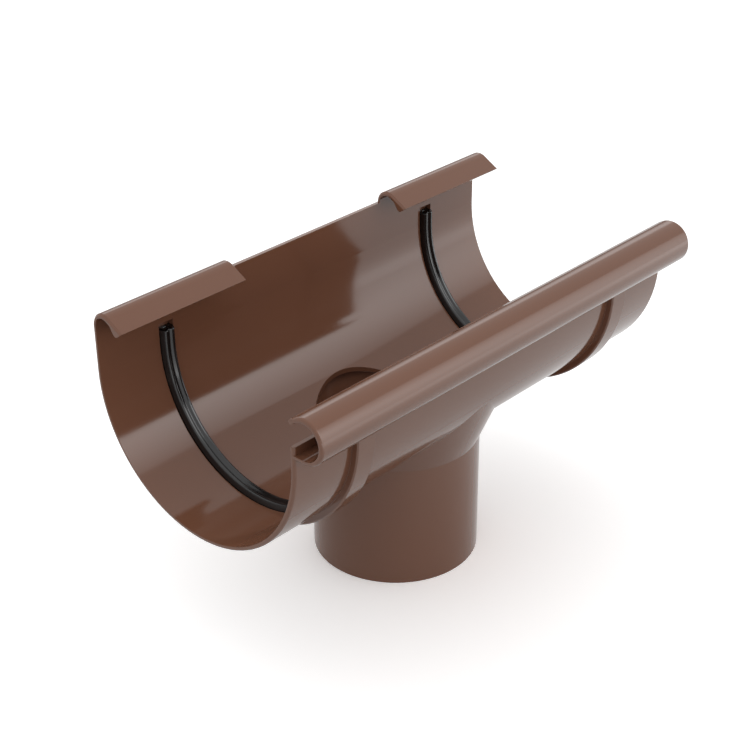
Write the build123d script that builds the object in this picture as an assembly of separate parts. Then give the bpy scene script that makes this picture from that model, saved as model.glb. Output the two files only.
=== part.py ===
from build123d import *
import os
from math import atan, cos, degrees, radians, sin, tan

# Half-round gutter outlet, injection moulded in rigid PVC, with two rubber seals.
# The origin is the centre of the spigot's bottom rim. X runs along the gutter,
# the front bead is at -Y, the rear hooks are at +Y and Z is up. Millimetres.

# Wall thickness of the whole moulding
wall = 2.2

# Trough, a half circle round the gutter axis with straight walls above it
length = 281.0
trough_inner_r = 65.2
rear_wall_rise = 24.7
front_lip_rise = 11.5

# Spigot and drain bore
spigot_outer_r = 45.0
spigot_length = 69.5
spigot_wall = 2.4
throat_tuck = 0.15

# Hollow front bead, placed from the gutter axis
bead_bore_r = 9.3
bead_offset = 73.0
bead_rise = 16.5
bead_lip_angle = 46.0
bead_lip_r = 1.3

# Rear hooks, one at each end
hook_length = 81.4
hook_crown_r = 7.8
hook_rise = 24.7
hook_arm_angle = 29.5
hook_arm_length = 10.8
hook_nose_depth = 4.4
hook_nose_width = 1.7
hook_nose_ramp = 4.4
hook_nose_rake = 2.0
hook_nose_r = 1.4

# Raised rings that carry the seals
ring_inset = 42.5
ring_width = 12.4
ring_height = 3.5
groove_width = 9.2
groove_rear_rise = 10.8
groove_front_rise = 2.0

# Hollow seals with two crests; heights are above the trough's wall
seal_side_gap = 0.1
seal_end_gap = 3.4
seal_crest_height = 3.8
seal_crest_spread = 5.0
seal_crest_flat = 0.9
seal_crest_edge = 0.3
seal_valley_height = 2.0
seal_core_width = 2.4
seal_core_height = 1.6

# Softened outer edges of the rings and of the moulding's ends
ring_chamfer = 0.7
end_round = 1.4
end_chamfer = 1.0

trough_outer_r = trough_inner_r + wall
axis_height = spigot_length + trough_outer_r
half_length = length / 2
ring_centre = half_length - ring_inset
bore_r = spigot_outer_r - spigot_wall
ring_r = trough_outer_r + ring_height
groove_r = ring_r - wall
bead_outer_r = bead_bore_r + wall


def band(inner_r, outer_r, front_rise, rear_rise):
    """A half ring under the axis, with straight legs up to the given heights."""
    thickness = outer_r - inner_r
    ring = Circle(outer_r) - Circle(inner_r)
    ring &= Pos(0, -outer_r / 2) * Rectangle(2 * outer_r, outer_r)
    mid_r = (inner_r + outer_r) / 2
    front_leg = Pos(-mid_r, front_rise / 2) * Rectangle(thickness, front_rise)
    rear_leg = Pos(mid_r, rear_rise / 2) * Rectangle(thickness, rear_rise)
    return ring + front_leg + rear_leg


def along_x(section, start, end):
    """The section extruded along the gutter from one station to the other."""
    plane = Plane((start, 0, axis_height), x_dir=(0, 1, 0), z_dir=(1, 0, 0))
    return extrude(plane * section, end - start)


def outer_arcs(solid, outer_r):
    """The arcs of the outer radius on both end faces of an extrusion along the gutter."""
    arcs = solid.faces().filter_by(Axis.X).edges().filter_by(GeomType.CIRCLE)
    return arcs.filter_by(lambda arc: abs(arc.radius - outer_r) < wall / 2)


def bead_section():
    """The open C of the front bead: a floor and a round shell with a free edge."""
    mid_r = bead_bore_r + wall / 2
    sweep = 270 - bead_lip_angle
    outer = CenterArc((0, 0), bead_outer_r, bead_lip_angle, sweep)
    inner = CenterArc((0, 0), bead_bore_r, bead_lip_angle, sweep)
    shell = make_face([outer, inner, Line(outer @ 0, inner @ 0), Line(outer @ 1, inner @ 1)])
    floor_width = bead_offset - trough_outer_r + wall / 2
    floor = Pos(floor_width / 2, -mid_r) * Rectangle(floor_width, wall)
    return Pos(-bead_offset, bead_rise) * (shell + floor)


def bead_lip_section():
    """The thick round lip on the bead's free edge."""
    lip = radians(bead_lip_angle)
    mid_r = bead_bore_r + wall / 2
    return Pos(-bead_offset + mid_r * cos(lip), bead_rise + mid_r * sin(lip)) * Circle(bead_lip_r)


def hook_section():
    """A rear hook: the wall turns over a round crown and comes down as an arm with a nose."""
    inner_r = hook_crown_r - wall
    turn = 90 + hook_arm_angle
    outer = CenterArc((0, 0), hook_crown_r, 0, turn)
    inner = CenterArc((0, 0), inner_r, 0, turn)
    crown = make_face([outer, inner, Line(outer @ 0, inner @ 0), Line(outer @ 1, inner @ 1)])
    nose_front = hook_nose_rake - hook_arm_length
    nose_back = nose_front + hook_nose_width
    nose_bottom = hook_crown_r - hook_nose_depth
    arm = make_face(
        Polyline(
            (0, hook_crown_r),
            (-hook_arm_length, hook_crown_r),
            (nose_front, nose_bottom),
            (nose_back, nose_bottom),
            (nose_back + hook_nose_ramp, inner_r),
            (0, inner_r),
            close=True,
        )
    )
    arm = Rot(0, 0, hook_arm_angle) * fillet(arm.vertices().group_by(Axis.Y)[0], hook_nose_r)
    leg_height = hook_rise - rear_wall_rise + wall
    leg = Pos(hook_crown_r - wall / 2, -leg_height / 2) * Rectangle(wall, leg_height)
    return Pos(trough_outer_r - hook_crown_r, hook_rise) * (crown + arm + leg)


def both_ends(section, inner_station, outer_station):
    """The same section at the left and at the right end."""
    right = along_x(section, inner_station, outer_station)
    left = along_x(section, -outer_station, -inner_station)
    return [left, right]


def make_trough():
    wall_section = band(trough_inner_r, trough_outer_r, front_lip_rise, rear_wall_rise)
    trough = along_x(wall_section, -half_length, half_length)
    trough = fillet(outer_arcs(trough, trough_outer_r), end_round)
    bead = along_x(bead_section(), -half_length, half_length)
    trough += fillet(outer_arcs(bead, bead_outer_r), end_round)
    trough += along_x(bead_lip_section(), -half_length, half_length)
    for hook in both_ends(hook_section(), half_length - hook_length, half_length):
        trough += chamfer(outer_arcs(hook, hook_crown_r), end_chamfer)
    return trough


def make_rings():
    front_rise = bead_rise - bead_outer_r + wall / 2
    outline = band(trough_inner_r + wall / 2, ring_r, front_rise, groove_rear_rise + wall)
    rings = []
    for ring in both_ends(outline, ring_centre - ring_width / 2, ring_centre + ring_width / 2):
        rings.append(chamfer(outer_arcs(ring, ring_r), ring_chamfer))
    return rings


def make_grooves():
    outline = band(trough_inner_r - wall, groove_r, groove_front_rise, groove_rear_rise)
    return both_ends(outline, ring_centre - groove_width / 2, ring_centre + groove_width / 2)


def make_throat():
    """The spigot and the cone that flares from it until it meets the trough's side."""
    flare = radians(90 - 2 * degrees(atan(spigot_outer_r / trough_outer_r)) - throat_tuck)
    rise = trough_outer_r * (1 - sin(flare))
    spread = rise * tan(flare)
    radial_wall = spigot_wall / cos(flare)
    cone = Cone(spigot_outer_r, spigot_outer_r + spread, rise, align=(Align.CENTER, Align.CENTER, Align.MIN))
    hollow = Cone(
        spigot_outer_r - radial_wall,
        spigot_outer_r - radial_wall + spread,
        rise,
        align=(Align.CENTER, Align.CENTER, Align.MIN),
    )
    base = Pos(0, 0, spigot_length)
    spigot = Cylinder(spigot_outer_r, axis_height, align=(Align.CENTER, Align.CENTER, Align.MIN))
    inside = along_x(Circle(trough_outer_r), -half_length, half_length)
    skin = spigot + base * cone - inside
    return skin, base * hollow - inside


def make_body():
    body = make_trough()
    for ring in make_rings():
        body += ring
    skin, hollow = make_throat()
    body += skin
    body -= hollow
    body -= Cylinder(bore_r, 2 * axis_height)
    for groove in make_grooves():
        body -= groove
    return body


def seal_section():
    """A seal's profile: X along the gutter, Y outwards from the gutter axis."""
    half = groove_width / 2 - seal_side_gap
    root = groove_r - seal_side_gap
    crest_x = seal_crest_spread / 2
    crest = trough_inner_r - seal_crest_height
    valley = trough_inner_r - seal_valley_height
    outline = Polyline(
        (-half, root),
        (-half, trough_inner_r),
        (-crest_x, crest),
        (0, valley),
        (crest_x, crest),
        (half, trough_inner_r),
        (half, root),
        close=True,
    )
    face = make_face(outline)
    for softening in (seal_crest_flat, seal_crest_edge):
        face = chamfer(face.vertices().filter_by(lambda v: v.Y < valley - seal_crest_edge), softening)
    return face - Pos(0, (root + valley) / 2) * Rectangle(seal_core_width, seal_core_height)


def make_seal(station):
    """A rubber seal that follows the groove round the trough and up its walls."""
    plane = Plane((station, 0, axis_height), x_dir=(1, 0, 0), z_dir=(0, 1, 0))
    gutter_axis = Axis((0, 0, axis_height), (1, 0, 0))
    section = plane * seal_section()
    rear = section.rotate(gutter_axis, 90)
    bend = revolve(rear, gutter_axis, -180)
    rear_leg = extrude(rear, groove_rear_rise - seal_end_gap, dir=(0, 0, 1))
    front = section.rotate(gutter_axis, -90)
    front_leg = extrude(front, groove_front_rise - seal_side_gap, dir=(0, 0, 1))
    return bend + rear_leg + front_leg


os.makedirs("parts", exist_ok=True)
export_step(make_body(), "parts/outlet_body.step")
export_step(make_seal(-ring_centre), "parts/gasket_left.step")
export_step(make_seal(ring_centre), "parts/gasket_right.step")
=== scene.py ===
from math import cos, radians, sin

import bmesh
import bpy
from mathutils import Matrix, Vector

MM = 0.001

# The photograph is a square frame; its camera was fitted to the outlet's edges
PHOTO_PIXELS = 750
FOCAL_PIXELS = 1598.07
SENSOR_WIDTH = 36.0
CAMERA_PLACE = Vector((-545.88, -488.74, 508.53)) * MM
CAMERA_HEADING = radians(42.685)
CAMERA_DIP = radians(29.067)
CAMERA_ROLL = radians(-0.332)

# Moulded PVC: its brown and its gloss drift between two close values in slow flow marks
PVC_DEEP_BROWN = "6e4a38"
PVC_PALE_BROWN = "724c3a"
PVC_IOR = 1.46
PVC_SMOOTHEST = 0.09
PVC_DULLEST = 0.12
FLOW_MARK = 45.0 * MM
FLOW_MARK_FROM = 0.3
FLOW_MARK_TO = 0.7

# Extruded rubber: near black, with a faint pale bloom in patches
RUBBER_BLACK = "0a0a0b"
RUBBER_BLOOM = "101112"
RUBBER_IOR = 1.6
RUBBER_ROUGHNESS = 0.15
BLOOM_PATCH = 17.0 * MM

# Fine skins. The moulding's real grain is finer than a pixel, which is half a millimetre here, so
# it is drawn as coarse as it needs to show. The rubber's, just under a pixel, only stirs its sheen.
MOULDED_SKIN = 1.1 * MM
MOULDED_SKIN_STRENGTH = 0.05
EXTRUDED_SKIN = 0.4 * MM
EXTRUDED_SKIN_STRENGTH = 0.06
SKIN_DEPTH = 0.05 * MM

# Rounding, in the shading alone, of the moulding's sharp edges and of the seals' ridges
EDGE_RADIUS = 0.3 * MM
RIDGE_RADIUS = 1.0 * MM

# A seal's place from the outlet's middle, and the bulge of its flanks, which starts and ends at
# these distances from the seal's own middle
SEAL_CENTRE = 98.0 * MM
FLANK_FROM = 2.0 * MM
FLANK_TO = 4.5 * MM
FLANK_BULGE = 1.4 * MM

# A strength of 1 is white
WHITE = (1.0, 1.0, 1.0, 1.0)
WHITE_STRENGTH = 1.0

# Floor: its grey as it lights the object, as it is mirrored and as the camera sees it, and the
# glow that is added to the last two. The camera's grey is over 1, so the floor is white where no
# shadow falls on it.
FLOOR_REACH = 6.0
FLOOR_GREY = 0.42
MIRRORED_GREY = 0.70
MIRRORED_GLOW = 0.20
SEEN_GREY = 1.235
SEEN_GLOW = 0.09

# A painted pool of light: the floor, as it is mirrored, glows more towards the panel, between these
# distances in metres
POOL_HEADING = radians(-68)
POOL_NEAR = -0.10
POOL_FAR = 1.10
POOL_GLOW = 2.2

# Even light from the whole room, and the share of the panel's glow that is added to it at the
# horizon and below. That share is gone at this height. Heights are a direction's Z, from -1 to 1.
ROOM_LIGHT = 1.0
PANEL_SHARE = 0.29
PANEL_SHARE_UP_TO = 0.60

# One large soft panel stands at the front right. Its straight edge is the plane through the
# object with this normal, and it glows more with the distance from that edge.
PANEL_EDGE = Vector((-0.348, -0.902, -0.257))
PANEL_FAR_EDGE = Vector((0.985, -0.174, 0.0))
PANEL_TOP = 0.82
PANEL_SOFTNESS = 0.012
PANEL_DIM = 1.68
PANEL_BRIGHT = 3.94
PANEL_BRIGHT_FROM = 0.35

# Lower down the panel fades to a share of its glow
PANEL_FADE_BOTTOM = -0.45
PANEL_FADE_TOP = 0.40
PANEL_FADED = 0.39

# A long low strip light stands behind the object, brightest along its upper edge
STRIP_HEADING = Vector((0.743, 0.669, 0.0))
STRIP_FROM = 0.70
STRIP_END_SOFTNESS = 0.1
STRIP_BOTTOM = 0.03
STRIP_TOP = 0.45
STRIP_TOP_SOFTNESS = 0.05
STRIP_DIM = 0.19
STRIP_BRIGHT = 2.06

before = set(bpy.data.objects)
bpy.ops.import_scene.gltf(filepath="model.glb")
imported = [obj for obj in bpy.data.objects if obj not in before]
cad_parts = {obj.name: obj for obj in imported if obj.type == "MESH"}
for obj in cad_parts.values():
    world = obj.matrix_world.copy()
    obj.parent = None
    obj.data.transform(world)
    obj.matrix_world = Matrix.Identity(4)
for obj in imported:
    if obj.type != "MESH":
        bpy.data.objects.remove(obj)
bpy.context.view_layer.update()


def linear(hex_colour):
    """An sRGB colour such as "6e4a38" as linear RGBA."""
    shares = [int(hex_colour[i : i + 2], 16) / 255 for i in (0, 2, 4)]
    return [s / 12.92 if s <= 0.04045 else ((s + 0.055) / 1.055) ** 2.4 for s in shares] + [1.0]


def new_material(name):
    material = bpy.data.materials.new(name)
    material.use_nodes = True
    material.node_tree.nodes.clear()
    return material


def add(tree, kind, settings=None, inputs=None, links=None):
    """A new node with its settings, its input values and the outputs that feed its inputs."""
    node = tree.nodes.new(kind)
    for name, value in (settings or {}).items():
        setattr(node, name, value)
    for name, value in (inputs or {}).items():
        node.inputs[name].default_value = value
    for name, source in (links or {}).items():
        tree.links.new(source, node.inputs[name])
    return node


def seen_share(tree):
    """1 for camera, glossy and transmission rays, 0 for the rays that light the object."""
    rays = add(tree, "ShaderNodeLightPath").outputs
    share = rays["Is Camera Ray"]
    for kind in ("Is Glossy Ray", "Is Transmission Ray"):
        either = {0: share, 1: rays[kind]}
        share = add(tree, "ShaderNodeMath", {"operation": "MAXIMUM"}, links=either).outputs[0]
    return share


def moulded_pvc():
    """Rigid PVC, injection moulded in brown: a smooth glossy skin that mirrors the room softly."""
    material = new_material("moulded_pvc")
    tree = material.node_tree
    place = add(tree, "ShaderNodeTexCoord").outputs["Object"]
    flow = add(
        tree,
        "ShaderNodeTexNoise",
        inputs={"Scale": 1 / FLOW_MARK, "Detail": 3.0, "Roughness": 0.5},
        links={"Vector": place},
    ).outputs["Fac"]
    colour = add(
        tree,
        "ShaderNodeMix",
        {"data_type": "RGBA"},
        {"A": linear(PVC_DEEP_BROWN), "B": linear(PVC_PALE_BROWN)},
        {"Factor": flow},
    )
    gloss = add(
        tree,
        "ShaderNodeMapRange",
        inputs={
            "From Min": FLOW_MARK_FROM,
            "From Max": FLOW_MARK_TO,
            "To Min": PVC_SMOOTHEST,
            "To Max": PVC_DULLEST,
        },
        links={"Value": flow},
    )
    grain = add(
        tree,
        "ShaderNodeTexNoise",
        inputs={"Scale": 1 / MOULDED_SKIN, "Detail": 2.0, "Roughness": 0.5},
        links={"Vector": place},
    )
    edge = add(tree, "ShaderNodeBevel", {"samples": 4}, {"Radius": EDGE_RADIUS})
    skin = add(
        tree,
        "ShaderNodeBump",
        inputs={"Strength": MOULDED_SKIN_STRENGTH, "Distance": SKIN_DEPTH},
        links={"Height": grain.outputs["Fac"], "Normal": edge.outputs["Normal"]},
    )
    shader = add(
        tree,
        "ShaderNodeBsdfPrincipled",
        inputs={"IOR": PVC_IOR},
        links={
            "Base Color": colour.outputs["Result"],
            "Roughness": gloss.outputs["Result"],
            "Normal": skin.outputs["Normal"],
        },
    )
    add(tree, "ShaderNodeOutputMaterial", links={"Surface": shader.outputs["BSDF"]})
    return material


def flank_bulge(tree, place, normal):
    """A seal's normal, with its flat flanks bulging ever steeper from the ridges to the groove."""
    along = add(tree, "ShaderNodeSeparateXYZ", links={"Vector": place}).outputs["X"]
    from_middle = add(
        tree,
        "ShaderNodeMath",
        {"operation": "ABSOLUTE"},
        links={0: along},
    ).outputs[0]
    off_centre = add(
        tree,
        "ShaderNodeMath",
        {"operation": "SUBTRACT"},
        {1: SEAL_CENTRE},
        {0: from_middle},
    ).outputs[0]
    to_side = add(
        tree,
        "ShaderNodeMath",
        {"operation": "ABSOLUTE"},
        links={0: off_centre},
    ).outputs[0]
    down_flank = add(
        tree,
        "ShaderNodeMapRange",
        inputs={"From Min": FLANK_FROM, "From Max": FLANK_TO},
        links={"Value": to_side},
    ).outputs["Result"]
    curve = add(
        tree,
        "ShaderNodeMath",
        {"operation": "MULTIPLY"},
        links={0: down_flank, 1: down_flank},
    ).outputs[0]
    bulge = add(
        tree,
        "ShaderNodeBump",
        {"invert": True},
        {"Strength": 1.0, "Distance": FLANK_BULGE},
        {"Height": curve, "Normal": normal},
    )
    return bulge.outputs["Normal"]


def epdm_rubber():
    """Extruded EPDM rubber: near black, with a dull sheen and a faint bloom."""
    material = new_material("epdm_rubber")
    tree = material.node_tree
    place = add(tree, "ShaderNodeTexCoord").outputs["Object"]
    bloom = add(
        tree,
        "ShaderNodeTexNoise",
        inputs={"Scale": 1 / BLOOM_PATCH, "Detail": 4.0, "Roughness": 0.6},
        links={"Vector": place},
    )
    colour = add(
        tree,
        "ShaderNodeMix",
        {"data_type": "RGBA"},
        {"A": linear(RUBBER_BLACK), "B": linear(RUBBER_BLOOM)},
        {"Factor": bloom.outputs["Fac"]},
    )
    grain = add(
        tree,
        "ShaderNodeTexNoise",
        inputs={"Scale": 1 / EXTRUDED_SKIN, "Detail": 2.0, "Roughness": 0.5},
        links={"Vector": place},
    )
    ridge = add(tree, "ShaderNodeBevel", {"samples": 8}, {"Radius": RIDGE_RADIUS})
    skin = add(
        tree,
        "ShaderNodeBump",
        inputs={"Strength": EXTRUDED_SKIN_STRENGTH, "Distance": SKIN_DEPTH},
        links={
            "Height": grain.outputs["Fac"],
            "Normal": flank_bulge(tree, place, ridge.outputs["Normal"]),
        },
    )
    shader = add(
        tree,
        "ShaderNodeBsdfPrincipled",
        inputs={"IOR": RUBBER_IOR, "Roughness": RUBBER_ROUGHNESS},
        links={"Base Color": colour.outputs["Result"], "Normal": skin.outputs["Normal"]},
    )
    add(tree, "ShaderNodeOutputMaterial", links={"Surface": shader.outputs["BSDF"]})
    return material


def pale_floor():
    """A matt pale floor, white where no shadow falls on it, with a painted pool of light towards
    the panel.
    """
    material = new_material("pale_floor")
    tree = material.node_tree
    towards_panel = add(
        tree,
        "ShaderNodeVectorMath",
        {"operation": "DOT_PRODUCT"},
        {1: (cos(POOL_HEADING), sin(POOL_HEADING), 0.0)},
        {0: add(tree, "ShaderNodeTexCoord").outputs["Object"]},
    )
    # Painted pool of light on the floor towards the panel, shown only in reflections
    painted_pool = add(
        tree,
        "ShaderNodeMapRange",
        {"interpolation_type": "SMOOTHSTEP"},
        {
            "From Min": POOL_NEAR,
            "From Max": POOL_FAR,
            "To Min": MIRRORED_GLOW,
            "To Max": MIRRORED_GLOW + POOL_GLOW,
        },
        {"Value": towards_panel.outputs["Value"]},
    )
    to_camera = add(tree, "ShaderNodeLightPath").outputs["Is Camera Ray"]
    seen = seen_share(tree)
    grey_in_view = add(
        tree,
        "ShaderNodeMix",
        inputs={"A": MIRRORED_GREY, "B": SEEN_GREY},
        links={"Factor": to_camera},
    )
    grey = add(
        tree,
        "ShaderNodeMix",
        inputs={"A": FLOOR_GREY},
        links={"Factor": seen, "B": grey_in_view.outputs["Result"]},
    )
    glow_in_view = add(
        tree,
        "ShaderNodeMix",
        inputs={"B": SEEN_GLOW},
        links={"Factor": to_camera, "A": painted_pool.outputs["Result"]},
    )
    glow = add(
        tree,
        "ShaderNodeMath",
        {"operation": "MULTIPLY"},
        links={0: seen, 1: glow_in_view.outputs["Result"]},
    )
    matt = add(tree, "ShaderNodeBsdfDiffuse", links={"Color": grey.outputs["Result"]})
    own_light = add(tree, "ShaderNodeEmission", links={"Strength": glow.outputs[0]})
    both = add(
        tree,
        "ShaderNodeAddShader",
        links={0: matt.outputs["BSDF"], 1: own_light.outputs["Emission"]},
    )
    add(tree, "ShaderNodeOutputMaterial", links={"Surface": both.outputs["Shader"]})
    return material


def make_floor():
    mesh = bpy.data.meshes.new("floor")
    sheet = bmesh.new()
    bmesh.ops.create_grid(sheet, x_segments=1, y_segments=1, size=FLOOR_REACH)
    sheet.to_mesh(mesh)
    sheet.free()
    floor = bpy.data.objects.new("floor", mesh)
    bpy.context.scene.collection.objects.link(floor)
    mesh.materials.append(pale_floor())


def beyond(tree, direction, edge):
    """How far a direction lies past the plane with this normal, and 0 before it or 1 past it."""
    depth = add(
        tree,
        "ShaderNodeVectorMath",
        {"operation": "DOT_PRODUCT"},
        {1: edge},
        {0: direction},
    ).outputs["Value"]
    share = add(
        tree,
        "ShaderNodeMapRange",
        inputs={"From Min": -PANEL_SOFTNESS, "From Max": PANEL_SOFTNESS},
        links={"Value": depth},
    ).outputs["Result"]
    return depth, share


def panel_glow(tree, direction, height):
    """The glow of the large soft panel, and 0 outside its edges."""
    depth, past_edge = beyond(tree, direction, PANEL_EDGE)
    past_far_edge = beyond(tree, direction, PANEL_FAR_EDGE)[1]
    under_top = add(
        tree,
        "ShaderNodeMapRange",
        inputs={
            "From Min": PANEL_TOP,
            "From Max": PANEL_TOP + PANEL_SOFTNESS,
            "To Min": 1.0,
            "To Max": 0.0,
        },
        links={"Value": height},
    ).outputs["Result"]
    fade = add(
        tree,
        "ShaderNodeMapRange",
        inputs={
            "From Min": PANEL_FADE_BOTTOM,
            "From Max": PANEL_FADE_TOP,
            "To Min": PANEL_FADED,
            "To Max": 1.0,
        },
        links={"Value": height},
    ).outputs["Result"]
    panel = add(
        tree,
        "ShaderNodeMapRange",
        inputs={"From Max": PANEL_BRIGHT_FROM, "To Min": PANEL_DIM, "To Max": PANEL_BRIGHT},
        links={"Value": depth},
    ).outputs["Result"]
    for share in (past_edge, past_far_edge, under_top, fade):
        both = {0: panel, 1: share}
        panel = add(tree, "ShaderNodeMath", {"operation": "MULTIPLY"}, links=both).outputs[0]
    return panel


def strip_glow(tree, direction, height):
    """The glow of the low strip light, in a room that is white all round it."""
    towards_strip = add(
        tree,
        "ShaderNodeVectorMath",
        {"operation": "DOT_PRODUCT"},
        {1: STRIP_HEADING},
        {0: direction},
    ).outputs["Value"]
    between_ends = add(
        tree,
        "ShaderNodeMapRange",
        inputs={"From Min": STRIP_FROM, "From Max": STRIP_FROM + STRIP_END_SOFTNESS},
        links={"Value": towards_strip},
    ).outputs["Result"]
    under_top = add(
        tree,
        "ShaderNodeMapRange",
        inputs={
            "From Min": STRIP_TOP,
            "From Max": STRIP_TOP + STRIP_TOP_SOFTNESS,
            "To Min": 1.0,
            "To Max": 0.0,
        },
        links={"Value": height},
    ).outputs["Result"]
    in_strip = add(
        tree,
        "ShaderNodeMath",
        {"operation": "MULTIPLY"},
        links={0: between_ends, 1: under_top},
    ).outputs[0]
    glow = add(
        tree,
        "ShaderNodeMapRange",
        {"interpolation_type": "SMOOTHSTEP"},
        {
            "From Min": STRIP_BOTTOM,
            "From Max": STRIP_TOP,
            "To Min": STRIP_DIM,
            "To Max": STRIP_BRIGHT,
        },
        {"Value": height},
    ).outputs["Result"]
    strip = add(
        tree,
        "ShaderNodeMix",
        inputs={"A": WHITE_STRENGTH},
        links={"Factor": in_strip, "B": glow},
    )
    return strip.outputs["Result"]


def light_room():
    """A room that is white to the camera, mirrors as two lights and lights the object evenly."""
    world = bpy.data.worlds.new("room")
    world.use_nodes = True
    tree = world.node_tree
    tree.nodes.clear()
    direction = add(tree, "ShaderNodeTexCoord").outputs["Generated"]
    height = add(tree, "ShaderNodeSeparateXYZ", links={"Vector": direction}).outputs["Z"]
    panel = panel_glow(tree, direction, height)
    strip = strip_glow(tree, direction, height)
    mirrored = add(
        tree,
        "ShaderNodeMath",
        {"operation": "MAXIMUM"},
        links={0: panel, 1: strip},
    ).outputs[0]
    low_share = add(
        tree,
        "ShaderNodeMapRange",
        inputs={"From Max": PANEL_SHARE_UP_TO, "To Min": PANEL_SHARE, "To Max": 0.0},
        links={"Value": height},
    ).outputs["Result"]
    falling = add(
        tree,
        "ShaderNodeMath",
        {"operation": "MULTIPLY_ADD"},
        {2: ROOM_LIGHT},
        {0: panel, 1: low_share},
    ).outputs[0]
    off_camera = add(
        tree,
        "ShaderNodeMix",
        links={"Factor": seen_share(tree), "A": falling, "B": mirrored},
    ).outputs["Result"]
    to_camera = add(tree, "ShaderNodeLightPath").outputs["Is Camera Ray"]
    strength = add(
        tree,
        "ShaderNodeMix",
        inputs={"B": WHITE_STRENGTH},
        links={"Factor": to_camera, "A": off_camera},
    ).outputs["Result"]
    room = add(
        tree,
        "ShaderNodeBackground",
        inputs={"Color": WHITE},
        links={"Strength": strength},
    )
    add(tree, "ShaderNodeOutputWorld", links={"Surface": room.outputs["Background"]})
    bpy.context.scene.world = world


def place_camera():
    data = bpy.data.cameras.new("camera")
    data.sensor_width = SENSOR_WIDTH
    data.lens = SENSOR_WIDTH * FOCAL_PIXELS / PHOTO_PIXELS
    camera = bpy.data.objects.new("camera", data)
    heading = Matrix.Rotation(CAMERA_HEADING - radians(90), 4, "Z")
    dip = Matrix.Rotation(radians(90) - CAMERA_DIP, 4, "X")
    roll = Matrix.Rotation(CAMERA_ROLL, 4, "Z")
    camera.matrix_world = Matrix.Translation(CAMERA_PLACE) @ heading @ dip @ roll
    bpy.context.scene.collection.objects.link(camera)
    bpy.context.scene.camera = camera


def finish_node(name, material):
    """Gives a CAD node its material."""
    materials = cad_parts[name].data.materials
    materials.clear()
    materials.append(material)


finish_node("outlet_body", moulded_pvc())
rubber = epdm_rubber()
finish_node("gasket_left", rubber)
finish_node("gasket_right", rubber)

make_floor()
light_room()
place_camera()

bpy.context.scene.view_settings.view_transform = "Standard"
